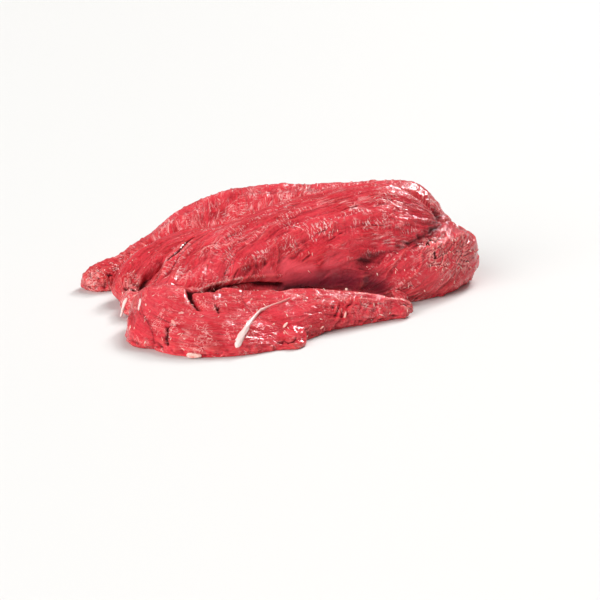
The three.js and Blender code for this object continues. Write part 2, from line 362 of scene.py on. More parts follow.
BUNDLE_SETS = [(1, 0, 0.7, 34), (1, 4, 0.47, 27), (2, 3, 0.35, 20)]  # for each ridge, more, height, wander
DRIFT = 1.4  # radians round the muscle that a bundle wanders
LUMP_HEIGHT = 0.8  # of the slow swelling along a muscle, as a share of its depth
LUMP_LENGTH = 17
DRAWS = 9  # random draws kept for each muscle

FACET = 1.6  # mm, of the smooth muscle that a piece starts from
LEAST_ROUND = 16  # facets round the thinnest muscle
RINGS_MORE = 8
SPINE_STEPS = 240
RIM_STEPS = 97  # points round a muscle's rim
CHUNK = 40_000  # points at a time
TINY = 1e-9
CLOSE = 1e-4  # where two stops are one, and the step to look along the line
SMOOTH_PASSES = 7  # over the joined skin
CAVITY_PASSES = 8  # to tell how deep a place lies
MERGE = 1.5  # mm over which one muscle's fibres give way to the next one's
FRAYED = 0.35  # how far a patch's edge wanders, as a share of its radius
RAGGED = 1.1  # mm that a ragged cut wanders
HEM = (2, 8)  # mm above the table, up to where the lower edge is ragged
OFF_LATTICE = 0.37  # keeps the fibres' third value off whole numbers, where a noise looks regular


def draw_turn(seed):
    """A repeatable turn round the circle from a whole number."""
    wave = math.sin(seed * 127.1 + 11.7) * 43758.5453
    return 2 * math.pi * (wave - math.floor(wave))


def swell(along, angle, muscle):
    """How far the big bundles of fibre stand proud, in mm."""
    first = muscle["seed"] * DRAWS
    sets = len(BUNDLE_SETS)
    total = 0
    for i, (per_ridge, more, height, wander) in enumerate(BUNDLE_SETS):
        drift = DRIFT * np.sin(along / wander + draw_turn(first + sets + i))
        count = per_ridge * muscle["ridges"] + more
        total = total + height * np.sin(count * angle + draw_turn(first + i) + drift)
    phase = draw_turn(first + 2 * sets) + np.sin(angle + muscle["seed"])
    return muscle["depth"] * (total + LUMP_HEIGHT * np.sin(along / LUMP_LENGTH + phase))


def smooth_line(points, shares):
    """Places at shares of a centripetal line through the points."""
    points = np.asarray(points, float)
    padded = np.vstack([2 * points[0] - points[1], points, 2 * points[-1] - points[-2]])
    place = np.clip(shares, 0, 1) * (len(points) - 1)
    i = np.minimum(place.astype(int), len(points) - 2)
    w = (place - i)[:, None]
    x0, x1, x2, x3 = (padded[i + k] for k in range(4))
    spans = [np.linalg.norm(b - a, axis=1, keepdims=True) ** 0.5 for a, b in ((x0, x1), (x1, x2), (x2, x3))]
    d1 = np.where(spans[1] < CLOSE, 1, spans[1])
    d0 = np.where(spans[0] < CLOSE, d1, spans[0])
    d2 = np.where(spans[2] < CLOSE, d1, spans[2])
    t1 = ((x1 - x0) / d0 - (x2 - x0) / (d0 + d1) + (x2 - x1) / d1) * d1
    t2 = ((x2 - x1) / d1 - (x3 - x1) / (d1 + d2) + (x3 - x2) / d2) * d1
    return x1 + w * (t1 + w * (3 * (x2 - x1) - 2 * t1 - t2 + w * (2 * (x1 - x2) + t1 + t2)))


def power(value, exponent):
    """A power that keeps the sign."""
    return np.sign(value) * np.abs(value) ** exponent


def turned(vectors, axes, angles):
    """Vectors turned about unit axes by angles in radians."""
    cos, sin = np.cos(angles)[:, None], np.sin(angles)[:, None]
    flat = (vectors * axes).sum(1, keepdims=True)
    return vectors * cos + np.cross(axes, vectors) * sin + axes * flat * (1 - cos)


def spine(muscle, shares):
    """The muscle's centre, directions, half sizes and squareness at shares of its length."""
    stops = np.array(muscle["stops"], float)
    centre = smooth_line(stops[:, :3], shares)
    ahead = smooth_line(stops[:, :3], np.minimum(shares + CLOSE, 1))
    tangent = ahead - smooth_line(stops[:, :3], np.maximum(shares - CLOSE, 0))
    tangent /= np.linalg.norm(tangent, axis=1, keepdims=True)
    across = np.cross(tangent, UP)
    across /= np.linalg.norm(across, axis=1, keepdims=True)
    girth = smooth_line(stops[:, 3:6], shares)
    across = turned(across, tangent, np.radians(girth[:, 2]))
    corner = np.interp(shares * (len(stops) - 1), range(len(stops)), stops[:, 6])
    return centre, tangent, across, np.cross(across, tangent), girth[:, :2], corner


def run_along(muscle):
    """Even shares of the muscle's length, its centre line there, and the mm run to each."""
    shares = np.linspace(0, 1, SPINE_STEPS)
    line = smooth_line([stop[:3] for stop in muscle["stops"]], shares)
    run = np.concatenate([[0], np.cumsum(np.linalg.norm(np.diff(line, axis=0), axis=1))])
    return shares, line, run


def add_muscle(bm, muscle):
    """Adds one muscle to the bmesh: a sphere drawn out along its centre line and flattened on the table."""
    length = run_along(muscle)[2][-1]
    widest = max(math.pi * (stop[3] + stop[4]) for stop in muscle["stops"])
    facet = min(FACET, widest / LEAST_ROUND)
    rings = int(length / facet) + RINGS_MORE
    made = bmesh.ops.create_uvsphere(bm, u_segments=int(widest / facet), v_segments=rings, radius=1)
    ball = np.array([vert.co for vert in made["verts"]])
    share = np.arccos(np.clip(ball[:, 2], -1, 1)) / math.pi
    angle = np.arctan2(ball[:, 1], ball[:, 0])
    first, last = muscle["ends"]
    tip = np.where(share < 0.5, share / first, (1 - share) / last)
    turn = np.minimum(tip, 1) * math.pi / 2
    reach = np.where(share < 0.5, first, last) * (1 - np.cos(turn))
    along = np.where(tip < 1, np.where(share < 0.5, reach, 1 - reach), share)
    centre, _, across, up, half, corner = spine(muscle, along)
    proud = swell(along * length, angle, muscle)
    bend = 2 / corner
    wide = (half[:, 0] + proud) * np.sin(turn) * power(np.cos(angle), bend)
    high = (half[:, 1] + proud) * np.sin(turn) * power(np.sin(angle), bend)
    place = centre + across * wide[:, None] + up * high[:, None]
    place[:, 2] = np.maximum(place[:, 2], 0)
    for vert, spot in zip(made["verts"], place):
        vert.co = spot


def draws(seed, cell):
    """A repeatable draw from 0 to 1 for each whole-numbered cell."""
    mixed = np.full(cell[0].shape, (seed + 1) * 2654435761 % 2**32, np.uint32)
    for axis, prime in zip(cell, (73856093, 19349663, 83492791)):
        mixed ^= axis.astype(np.int64).astype(np.uint32) * np.uint32(prime)
        mixed ^= mixed >> np.uint32(15)
        mixed *= np.uint32(2246822519)
        mixed ^= mixed >> np.uint32(13)
    return mixed / 2**32


def noise(seed, *axes):
    """Smooth noise from about -1 to 1, with a wave or so to each unit of its axes, and new for each seed."""
    floors = [np.floor(axis) for axis in axes]
    parts = [axis - floor for axis, floor in zip(axes, floors)]
    total = 0
    for corner in itertools.product((0, 1), repeat=len(axes)):
        cell = [floor + step for floor, step in zip(floors, corner)]
        weight = 1
        slope = 0
        for k, (part, step) in enumerate(zip(parts, corner)):
            away = np.abs(part - step)
            weight = weight * (1 - away * away * (3 - 2 * away))
            slope = slope + (part - step) * (2 * draws(seed + 7 * k, cell) - 1)
        total = total + weight * slope
    return np.clip(2 * total, -1, 1)


def noise_at(seed, places, size):
    """Noise in space, with waves of about the size in mm."""
    return noise(seed, *(places / size).T)


def strewn(seed, *axes):
    """Distances to the nearest two of points strewn one to each unit cell, and the nearest one's draw."""
    floors = [np.floor(axis) for axis in axes]
    first = np.full(axes[0].shape, 9.0)
    second = first.copy()
    tag = np.zeros(axes[0].shape)
    for step in itertools.product((-1, 0, 1), repeat=len(axes)):
        cell = [floor + k for floor, k in zip(floors, step)]
        gaps = [corner + draws(seed + k, cell) - axis for k, (corner, axis) in enumerate(zip(cell, axes))]
        away = np.sqrt(sum(gap * gap for gap in gaps))
        tag = np.where(away < first, draws(seed + 5, cell), tag)
        second = np.minimum(second, np.maximum(first, away))
        first = np.minimum(first, away)
    return first, second, tag


def ease(value, low, high):
    """0 below low, 1 above high and a smooth rise between."""
    share = np.clip((value - low) / (high - low), 0, 1)
    return share * share * (3 - 2 * share)


def off_path(points, path):
    """How far each point is from a path of straight stretches."""
    path = np.array(path, float)
    best = np.full(len(points), 1e9)
    for start, end in zip(path[:-1], path[1:]):
        run = end - start
        share = np.clip((points - start) @ run / (run @ run), 0, 1)
        best = np.minimum(best, np.linalg.norm(points - start - share[:, None] * run, axis=1))
    return best


def hill(distance, reach):
    """1 in the middle and almost 0 past the reach."""
    return np.exp(-((distance / reach) ** 2))


def nearest_share(points, line):
    """Each point's share of the line's length, by a parabola through the three nearest steps."""
    share = np.zeros(len(points))
    last = len(line) - 1
    for start in range(0, len(points), CHUNK):
        part = points[start:start + CHUNK]
        square = (line**2).sum(1) - 2 * part @ line.T
        near = np.clip(square.argmin(1), 1, last - 1)
        before, at, after = (square[np.arange(len(part)), near + k] for k in (-1, 0, 1))
        shift = 0.5 * (before - after) / np.maximum(before - 2 * at + after, TINY)
        share[start:start + CHUNK] = np.clip((near + np.clip(shift, -1, 1)) / last, 0, 1)
    return share


def muscle_place(name, points):
    """For each point, how far it is outside the muscle, how far along and around it in mm, and its way."""
    muscle = FORMS[name]
    shares, line, run = run_along(muscle)
    share = nearest_share(points, line)
    centre, tangent, across, up, half, corner = spine(muscle, share)
    gone = points - centre
    left = (gone * tangent).sum(1)
    x = (gone * across).sum(1) / half[:, 0]
    y = (gone * up).sum(1) / half[:, 1]
    first, last = muscle["ends"]
    tip = np.minimum(np.minimum(share / first, (1 - share) / last), 1)
    width = np.sqrt(np.maximum(1 - (1 - tip) ** 2, TINY))
    radius = (np.abs(x) ** corner + np.abs(y) ** corner) ** (1 / corner) + TINY
    outside = np.linalg.norm(gone, axis=1) * (1 - width / radius) + np.abs(left)
    angle = np.arctan2(power(y, corner / 2), power(x, corner / 2))
    mean = np.array(muscle["stops"], float)[:, 3:5].mean(0)
    turns = np.linspace(-math.pi, math.pi, RIM_STEPS)  # from the top, so that the seam lies underneath
    rim = power(np.stack([np.sin(turns), np.cos(turns)], 1), 2 / corner.mean()) * mean
    arc = np.concatenate([[0], np.cumsum(np.linalg.norm(np.diff(rim, axis=0), axis=1))])
    from_top = (angle - math.pi / 2 + math.pi) % (2 * math.pi) - math.pi
    around = (np.interp(from_top, turns, arc) - arc[-1] / 2) * half.mean(1) / mean.mean()
    along = np.interp(share, shares, run) + left
    twist = TWIST.get(name, 0)
    cos, sin = math.cos(twist), math.sin(twist)
    return outside, cos * along + sin * around, cos * around - sin * along, cos * tangent + sin * across


def relief(name, along, around):
    """The height of the muscle's bundles, strands, ripples and fissures, in mm."""
    bundle, strand, ripple, fissure = grain_of(name)[:4]
    seed = 100 * FORMS[name]["seed"]

    def waves(pick, wide, long):
        """One of the muscle's noises, with waves of so many mm across the fibres and along them."""
        return noise(seed + pick, around / wide, along / long)

    height = 0
    if name == "tail":
        there = ease(along, PLEATS["from"], PLEATS["from"] + PLEATS["in"])
        there = there * ease(-along, -PLEATS["to"], PLEATS["out"] - PLEATS["to"])
        slant = along + PLEATS["slant"] * around
        wave = np.sin(2 * math.pi * slant / PLEATS["apart"] + 3 * waves(20, 9, 13)) * waves(22, 8, 11)
        height = PLEATS["depth"] * there * ease(-around, -2, 6) * wave
    around = around + 4 * waves(0, 21, 34) + 0.8 * waves(1, 5, 9)
    along = along + 3 * waves(2, 9, 14)
    height += bundle * (waves(3, 5.5, 60) + 0.7 * waves(5, 3, 34))
    height += strand * waves(7, 1.7, 24)
    height += 0.35 * strand * (hill(waves(9, 8, 45), 0.07) - 0.2) / 0.1
    height += ripple * waves(14, 5, 2.2) * ease(waves(12, 14, 20), -0.2, 0.5)
    return height - fissure * hill(waves(18, 8, 30), 0.08) * ease(waves(16, 11, 15), 0.15, 0.45)


def grain_of(name):
    return GRAIN.get(name, SMALL_GRAIN)


def blend(share, column):
    """One column of the grain, blended by each muscle's share of a point."""
    return sum(share[name] * grain_of(name)[column] for name in share)


def own_place(names, found):
    """Each point's place across and along the fibres of the muscle nearest to it, and that muscle's seed."""
    owner = np.stack([found[name][0] for name in names]).argmin(0)
    pick = np.arange(len(owner))
    along, around = (np.stack([found[name][k] for name in names])[owner, pick] for k in (1, 2))
    return around, along, np.array([float(FORMS[name]["seed"]) for name in names])[owner]


def torn(around, along, seed):
    """The height of torn crumbs and of the grit on them, in mm, and where their pale rims are, partly painted
    highlight.
    """
    across = around / CRUMB[0] + 0.4 * noise(51, around / 5, along / 7, seed)
    lengthwise = along / CRUMB[1] + 0.3 * noise(52, around / 5, along / 7, seed) + 17 * seed
    first, second, tag = strewn(53, across, lengthwise)
    gap = second - first
    crumb = 0.9 * (tag - 0.5) + ease(gap, 0, 0.35) - 0.7
    height = CRUMB_HEIGHT * crumb + GRIT_HEIGHT * noise(54, around / 1.7, along / 2.6, seed)
    return height, ease(gap, 0.1, 0.2) * (1 - ease(gap, 0.25, 0.45)) * (0.4 + 0.6 * tag)


def neighbour_mean(values, edges):
    """Each vertex's mean over the vertices that it shares an edge with."""
    total = np.zeros_like(values)
    count = np.zeros(len(values))
    for a, b in ((0, 1), (1, 0)):
        count += np.bincount(edges[:, a], minlength=len(values))
        for k in range(values.shape[1]):
            total[:, k] += np.bincount(edges[:, a], values[edges[:, b], k], len(values))
    return total / np.maximum(count, 1)[:, None]


def pulled(items, what, width, kind=np.float32):
    """One property of a mesh's vertices or edges as an array."""
    values = np.zeros(len(items) * width, kind)
    items.foreach_get(what, values)
    return values.reshape(-1, width)


def mesh_arrays(mesh):
    """A mesh's places, edges and normals as arrays."""
    places = pulled(mesh.vertices, "co", 3).astype(float)
    edges = pulled(mesh.edges, "vertices", 2, np.int32)
    return places, edges, pulled(mesh.vertex_normals, "vector", 3).astype(float)


def set_places(mesh, places):
    mesh.vertices.foreach_set("co", places.astype(np.float32).ravel())
    mesh.update()


def largest_island(mesh):
    """Deletes what is not part of the mesh's largest connected surface."""
    edges = mesh_arrays(mesh)[1]
    label = np.arange(len(mesh.vertices))
    while True:
        low = label.copy()
        np.minimum.at(low, edges[:, 0], label[edges[:, 1]])
        np.minimum.at(low, edges[:, 1], label[edges[:, 0]])
        low = low[low]
        if (low == label).all():
            break
        label = low
    kept = np.bincount(label).argmax()
    if (label == kept).all():
        return
    bm = bmesh.new()
    bm.from_mesh(mesh)
    bm.verts.ensure_lookup_table()
    bmesh.ops.delete(bm, geom=[bm.verts[i] for i in np.nonzero(label != kept)[0]], context="VERTS")
    bm.to_mesh(mesh)
    bm.free()


def as_mesh(bm, name):
    mesh = bpy.data.meshes.new(name)
    bm.to_mesh(mesh)
    bm.free()
    return mesh


def placed(name, data):
    """A new object in the scene."""
    item = bpy.data.objects.new(name, data)
    bpy.context.scene.collection.objects.link(item)
    return item


def finished(name, mesh, material):
    """The mesh as a piece of the meat, shaded smooth."""
    mesh.polygons.foreach_set("use_smooth", [True] * len(mesh.polygons))
    mesh.name = name
    mesh.materials.append(material)
    return placed(name, mesh)


def with_modifier(mesh, kind, **settings):
    """The mesh as the modifier leaves it."""
    holder = placed("holder", mesh)
    modifier = holder.modifiers.new(kind, kind)
    for key, value in settings.items():
        setattr(modifier, key, value)
    shaped = bpy.data.meshes.new_from_object(holder.evaluated_get(bpy.context.evaluated_depsgraph_get()))
    bpy.data.objects.remove(holder)
    bpy.data.meshes.remove(mesh)
    return shaped


def raw_skin(names, grid):
    """One closed surface round the muscles."""
    bm = bmesh.new()
    for name in names:
        add_muscle(bm, FORMS[name])
    bmesh.ops.recalc_face_normals(bm, faces=bm.faces)
    mesh = with_modifier(as_mesh(bm, "skin"), "REMESH", mode="VOXEL", voxel_size=grid, adaptivity=0)
    if names[0] in MUSCLES:
        largest_island(mesh)
    places, edges, _ = mesh_arrays(mesh)
    for _ in range(SMOOTH_PASSES):
        places = places + 0.5 * (neighbour_mean(places, edges) - places)
    set_places(mesh, places)
    return mesh


def patch_share(places, kind):
    """How much of the patches shows at each point: full over the inner part of a patch, then fading."""
    shown = np.zeros(len(places))
    frayed = FRAYED * noise_at(60, places, 7)
    for *middle, radius, share in PATCHES[kind]:
        away = np.linalg.norm(places - middle, axis=1) / radius + frayed
        shown = np.maximum(shown, share * (1 - ease(away, 0.35, 1)))
    return shown


def smooth_share(places):
    """How smooth each point is, under film or by itself."""
    return np.maximum(patch_share(places, "film"), patch_share(places, "smooth"))


def joins(names, places):
    """How far the surface rises or sinks where it meets other pieces' muscles, and its groove's painted
    shade.
    """
    height = np.zeros(len(places))
    groove_shade = np.zeros(len(places))
    for first, second, reach, rise, painted_shade, *place in JOINS:
        strange = [name for name in (first, second) if name not in names]
        if len(strange) != 1:
            continue
        outside = np.maximum(muscle_place(strange[0], places)[0], 0)
        near = np.maximum(1 - outside / reach, 0)
        if place:
            middle, radius = place
            away = np.linalg.norm(places - middle, axis=1)
            near = near * (1 - ease(away, 0.6 * radius, radius))
        height += rise * near**2
        groove_shade = np.maximum(groove_shade, painted_shade * near)
    return height, groove_shade


def fibred(names):
    """The muscles whose own fibres show."""
    return [name for name in names if name not in FILLING]


def near_muscles(names, places):
    """Every muscle's place for each point, and its share there: 1 in its own middle, less near another."""
    found = {name: muscle_place(name, places) for name in names}
    nearest = np.min([found[name][0] for name in names], axis=0)
    weight = {name: np.exp((nearest - found[name][0]) / MERGE) for name in names}
    total = sum(weight.values())
    return found, {name: weight[name] / total for name in names}


def ragged(places):
    """The same places, shaken a little, so that a cut through them is ragged."""
    shake = [noise_at(30 + k, places, 4) + 0.5 * noise_at(40 + k, places, 1.9) for k in range(3)]
    return places + RAGGED * np.stack(shake, 1)


def torn_share(share, places):
    """How far each place is torn to crumbs, from 0 to 1."""
    return np.maximum(blend(share, 4), patch_share(places, "torn")) * (1 - 0.9 * smooth_share(places))


def work_surface(names, mesh):
    """Raises the fibres, crumbs, cuts and lips on the bare skin."""
    places, edges, normals = mesh_arrays(mesh)
    grown = fibred(names)
    found, share = near_muscles(grown, places)
    height = torn_share(share, places) * torn(*own_place(grown, found))[0]
    smooth = smooth_share(places)
    for name in grown:
        here = share[name] > 0.01
        raised = relief(name, found[name][1][here], found[name][2][here])
        height[here] += share[name][here] * (1 - 0.8 * smooth[here]) * raised
    if names[0] in MUSCLES and names[0] != "tendon":
        height += broad_relief(names, places)
    down = ease(-normals[:, 2], 0.2, 0.8)
    height *= 1 - down * (1 - ease(places[:, 2], -0.5, 2.5))
    places = places + normals * height[:, None]
    places[:, 2] = np.maximum(places[:, 2], 0)
    set_places(mesh, places)


def broad_relief(names, places):
    """The height of lumps, hollows, cuts and lips, and of the ragged edge near the table, in mm."""
    height = joins(names, places)[0]
    for k, (size, tall) in enumerate(LUMPS):
        height += tall * noise_at(5 + k, places, size)
    for middle, radius, rise in DENTS:
        height += rise * hill(np.linalg.norm(places - middle, axis=1), radius / DENT_FALL)
    shaken = ragged(places)
    for mark in MARKS:
        spots = places if mark["clean"] else shaken
        height += mark["rise"] * hill(off_path(spots, mark["path"]), mark["reach"])
    hem = 1 - ease(places[:, 2], *HEM)
    return height + hem * (1.2 * noise_at(71, places, 6) + 0.7 * noise_at(72, places, 2.7))


def mark_surface(names, mesh):
    """Writes where the fibres run, each place's depth for painted shade and light, and how pale, silvery,
    torn or violet it is.
    """
    places, edges, normals = mesh_arrays(mesh)
    grown = fibred(names)
    found, share = near_muscles(grown, places)
    around, along, seed = own_place(grown, found)

    # How far each place lies below its smoothed neighbours: painted shade in hollows, painted light on
    # ridges.
    flat = places.copy()
    for _ in range(CAVITY_PASSES):
        flat = neighbour_mean(flat, edges)
    shade_and_ridge_light = np.clip(((flat - places) * normals).sum(1), -1, 1)
    film = np.zeros(len(places))
    purple_and_shade = np.zeros(len(places))
    ripped = torn_share(share, places)
    # pale rims of the crumbs, partly torn fibre and partly painted highlight
    rim = ripped * torn(around, along, seed)[1]
    dashes_and_glints, streaks_and_highlights, pale = (blend(share, column) for column in (5, 6, 7))
    if names[0] in MUSCLES:
        # painted shade in the grooves beside other pieces
        shade_and_ridge_light = shade_and_ridge_light + joins(names, places)[1]
        film = patch_share(places, "film")
        # violet along the marks, partly dark tissue and partly painted shade
        for mark in MARKS:
            purple_and_shade += mark["purple_and_shade"] * hill(off_path(places, mark["path"]), mark["reach"])
        bare = 1 - np.maximum(smooth_share(places), np.minimum(purple_and_shade, 1))
        pale = bare * np.maximum(pale, patch_share(places, "pale"))
        # patches of pale dashes and streaks, partly painted glints and highlights
        dashes_and_glints = bare * (dashes_and_glints + patch_share(places, "dashed"))
        streaks_and_highlights = bare * (streaks_and_highlights + patch_share(places, "streaked_highlights"))
        shaken = ragged(places)
        for mark in MARKS:
            spots = places if mark["clean"] else shaken
            there = hill(off_path(spots, mark["path"]), MARK_WIDER * mark["reach"])
            # cuts get painted shade, fuller the deeper they are
            if mark["rise"] < 0:
                shade_and_ridge_light += min(1, -mark["rise"] / DARK_CUT) * there
            if mark["pale"] > 0:
                pale = np.maximum(pale, (1 + mark["pale"]) * there)
    layers = {
        "fibre": np.stack([around, along, 10 * seed + OFF_LATTICE], 1),
        "tone": np.stack([shade_and_ridge_light, pale, film], 1),
        "grain": np.stack([ripped, dashes_and_glints, streaks_and_highlights], 1),
        # violet, partly painted shade, and crumb rims, partly painted highlight
        "purple_shade_and_rim_light": np.stack([purple_and_shade, rim, 0 * rim], 1),
    }
    for label, values in layers.items():
        layer = mesh.attributes.new(label, "FLOAT_VECTOR", "POINT")
        layer.data.foreach_set("vector", values.astype(np.float32).ravel())


def muscle_piece(name, muscles, grid, most, material):
    """One finished piece of the meat, in the part's metres."""
    mesh = raw_skin(muscles, grid)
    work_surface(muscles, mesh)
    mesh.calc_loop_triangles()
    faces = len(mesh.loop_triangles)
    if faces > most:
        mesh = with_modifier(mesh, "DECIMATE", decimate_type="COLLAPSE", ratio=most / faces)
    mark_surface(muscles, mesh)
    set_places(mesh, (mesh_arrays(mesh)[0] - BASE_MIDDLE) * MM)
    return finished(name, mesh, material)


def linear(hexa):
    """A colour's linear red, green, blue and alpha from its sRGB hex value."""
    parts = [int(hexa[i:i + 2], 16) / 255 for i in (0, 2, 4)]
    return tuple(c / 12.92 if c <= 0.04045 else ((c + 0.055) / 1.055) ** 2.4 for c in parts) + (1.0,)


def add(tree, kind, inputs, **settings):
    """Adds a shader node with its settings, and sets each input or links it to a socket or a node's first
    output."""
    node = tree.nodes.new("ShaderNode" + kind)
    for key, value in settings.items():
        setattr(node, key, value)
    for socket, value in inputs.items():
        if isinstance(value, bpy.types.Node):
            value = value.outputs[0]
        if isinstance(value, bpy.types.NodeSocket):
            tree.links.new(value, node.inputs[socket])
        else:
            node.inputs[socket].default_value = value
    return node


def new_material(name):
    material = bpy.data.materials.new(name)
    material.use_nodes = True
    material.node_tree.nodes.clear()
    return material, material.node_tree


# Raw beef muscle, wet from the knife: deep red fibres under a film of moisture, so it glints along the
# fibres; the pale dashes, specks, streaks and crumb rims in its colour are partly painted glints and
# highlights. It glows a little at thin edges. Its hollows, grooves and cuts get painted shade and its ridges
# painted light, and its violet creases are partly dark tissue, partly painted shade. The moisture bridges
# the finest grit, so the coat has a smoother bump of its own.
def raw_muscle():
    material, tree = new_material("raw_beef_muscle")
    parts = {}
    for label in ("fibre", "tone", "grain", "purple_shade_and_rim_light"):
        parts[label] = add(tree, "Attribute", {}, attribute_name=label).outputs["Vector"]
    tone, grain, purple_shade_and_rim_light = (
        add(tree, "SeparateXYZ", {0: parts[label]}).outputs for label in ("tone", "grain", "purple_shade_and_rim_light")
    )
    place = add(tree, "TexCoord", {}).outputs["Object"]
    place = add(tree, "VectorMath", {0: place, 3: 1 / MM}, operation="SCALE")
    wander = add(tree, "TexNoise", {"Vector": place, "Scale": 1 / 9, "Detail": 3.0}).outputs["Color"]
    wander = add(tree, "VectorMath", {0: wander, 1: (0.5, 0.5, 0.5)}, operation="SUBTRACT")
    wander = add(tree, "VectorMath", {0: wander, 1: (6, 6, 0)}, operation="MULTIPLY")
    fibre = add(tree, "VectorMath", {0: parts["fibre"], 1: wander}, operation="ADD")

    # Each pattern's place, size in mm (across the fibres, along them and through), detail, and the levels
    # of the noise between which it comes in. Where the first level is the higher, it is a thin line that
    # winds along the middle of the noise, and the levels are its half width's.
    patterns = {
        "strands": (fibre, (1.1, 24, 1), 3, 0.35, 0.65),
        "broad": (place, (22, 22, 22), 3, 0.4, 0.62),
        "streaks_and_highlights": (fibre, (1.0, 8, 1), 3, 0.55, 0.64),
        "streaky": (fibre, (12, 30, 1), 2, 0.42, 0.62),
        "threads": (fibre, (2.6, 18, 1), 2, 0.03, 0.008),
        "dashes_and_glints": (fibre, (2.4, 0.9, 1), 2, 0.54, 0.62),
        "dashed": (fibre, (10, 22, 1), 2, 0.44, 0.62),
        "specks_and_glints": (place, (1.4, 1.4, 1.4), 2, 0.56, 0.64),
        "speckled": (place, (9, 9, 9), 2, 0.42, 0.6),
        "veins": (place, (2.6, 2.6, 2.6), 1, 0.05, 0.015),
        "hair": (fibre, (0.8, 7, 1), 2, 0, 1),
        "cross": (fibre, (3.2, 1.4, 1), 2, 0.1, 0.9),
        "grit": (fibre, (0.9, 1.5, 1), 2, 0.25, 0.75),
    }
    shown = {}
    for label, (where, size, detail, low, high) in patterns.items():
        where = add(tree, "Mapping", {"Vector": where, "Scale": [1 / mm for mm in size]})
        cloud = add(tree, "TexNoise", {"Vector": where, "Scale": 1.0, "Detail": detail}).outputs["Fac"]
        if low > high:
            cloud = add(tree, "Math", {0: cloud, 1: 0.5}, operation="SUBTRACT")
            cloud = add(tree, "Math", {0: cloud}, operation="ABSOLUTE")
        limits = {"Value": cloud, "From Min": low, "From Max": high}
        shown[label] = add(tree, "MapRange", limits)
    # Each pattern shows in clusters, which grow as its amount grows from 0 to 1 and fill all by 2.
    for label, cluster, amount in (
        ("streaks_and_highlights", "streaky", grain["Z"]),
        ("threads", "streaky", grain["Z"]),
        ("dashes_and_glints", "dashed", grain["Y"]),
        ("cross", "dashed", grain["Y"]),
        ("specks_and_glints", "speckled", grain["X"]),
        ("veins", "speckled", tone["Y"]),
    ):
        grown = add(tree, "Math", {0: shown[cluster], 1: amount}, operation="ADD")
        grown = add(tree, "Math", {0: grown, 1: 1}, operation="SUBTRACT", use_clamp=True)
        shown[label] = add(tree, "Math", {0: shown[label], 1: grown}, operation="MULTIPLY")

    # From the flesh up: what shows, how strong, and its colour.
    layers = (
        (shown["strands"], 0.9, "d82838"),
        (shown["broad"], 0.6, "e43a4a"),
        (shown["grit"], 0.35, "f05c62"),
        (tone["Z"], 0.8, "f25e68"),
        (shown["threads"], 0.7, "f28a8a"),
        # pale streaks along the fibres, partly painted highlights
        (shown["streaks_and_highlights"], 0.8, "fab4b2"),
        # violet, partly dark tissue and partly painted shade
        (purple_shade_and_rim_light["X"], 0.9, "480c20"),
        # pale specks, partly painted glints on the wet surface
        (shown["specks_and_glints"], 0.6, "f6a09e"),
        # pale crumb rims, partly painted highlight
        (purple_shade_and_rim_light["Y"], 0.85, "fab8b0"),
        (shown["veins"], 0.85, "fabab6"),
        # pale dashes across the fibres, partly painted glints
        (shown["dashes_and_glints"], 0.9, "ffdad6"),
    )
    colour = linear("a60e1c")
    for share, strength, over in layers:
        share = add(tree, "Math", {0: share, 1: strength}, operation="MULTIPLY")
        mix = {0: share, 6: colour, 7: linear(over)}
        colour = add(tree, "Mix", mix, data_type="RGBA").outputs[2]
    # Painted shade in hollows, grooves and cuts, and painted light on ridges.
    for low, high, most, over in ((0.04, 0.7, 0.92, "3a0409"), (-0.06, -0.5, 0.3, "e86860")):
        limits = {"Value": tone["X"], "From Min": low, "From Max": high, "To Max": most}
        mix = {0: add(tree, "MapRange", limits), 6: colour, 7: linear(over)}
        colour = add(tree, "Mix", mix, data_type="RGBA").outputs[2]
    lip = add(tree, "MapRange", {"Value": tone["Y"], "From Min": 1.2, "From Max": 1.5})
    colour = add(tree, "Mix", {0: lip, 6: colour, 7: linear("f0a8a0")}, data_type="RGBA").outputs[2]

    specks_and_glints = add(tree, "Math", {0: shown["specks_and_glints"], 1: 0.5}, operation="MULTIPLY")
    height = add(tree, "Math", {0: shown["hair"], 1: shown["cross"]}, operation="ADD")
    height = add(tree, "Math", {0: height, 1: specks_and_glints}, operation="ADD")
    gritty = add(tree, "Math", {0: height, 1: shown["grit"]}, operation="ADD")
    limits = {"Value": tone["Z"], "To Min": 0.9, "To Max": 0.3}
    strength = add(tree, "MapRange", limits)
    bump = add(tree, "Bump", {"Strength": strength, "Distance": 0.0006, "Height": gritty})
    wet = add(tree, "Bump", {"Strength": strength, "Distance": 0.0005, "Height": height})
    limits = {"Value": shown["hair"], "From Min": 0.3, "From Max": 0.7, "To Min": 0.55, "To Max": 0.4}
    rough = add(tree, "MapRange", limits)
    shader = add(
        tree, "BsdfPrincipled",
        {
            "Base Color": colour, "Roughness": rough, "IOR": 1.38, "Specular IOR Level": 0.0,
            "Subsurface Weight": 0.1, "Subsurface Radius": (1.0, 0.25, 0.2), "Subsurface Scale": 0.001,
            "Coat Weight": 0.8, "Coat Roughness": 0.13, "Coat IOR": 1.38,
            "Normal": bump, "Coat Normal": wet,
        },
    )
    add(tree, "OutputMaterial", {"Surface": shader})
    return material


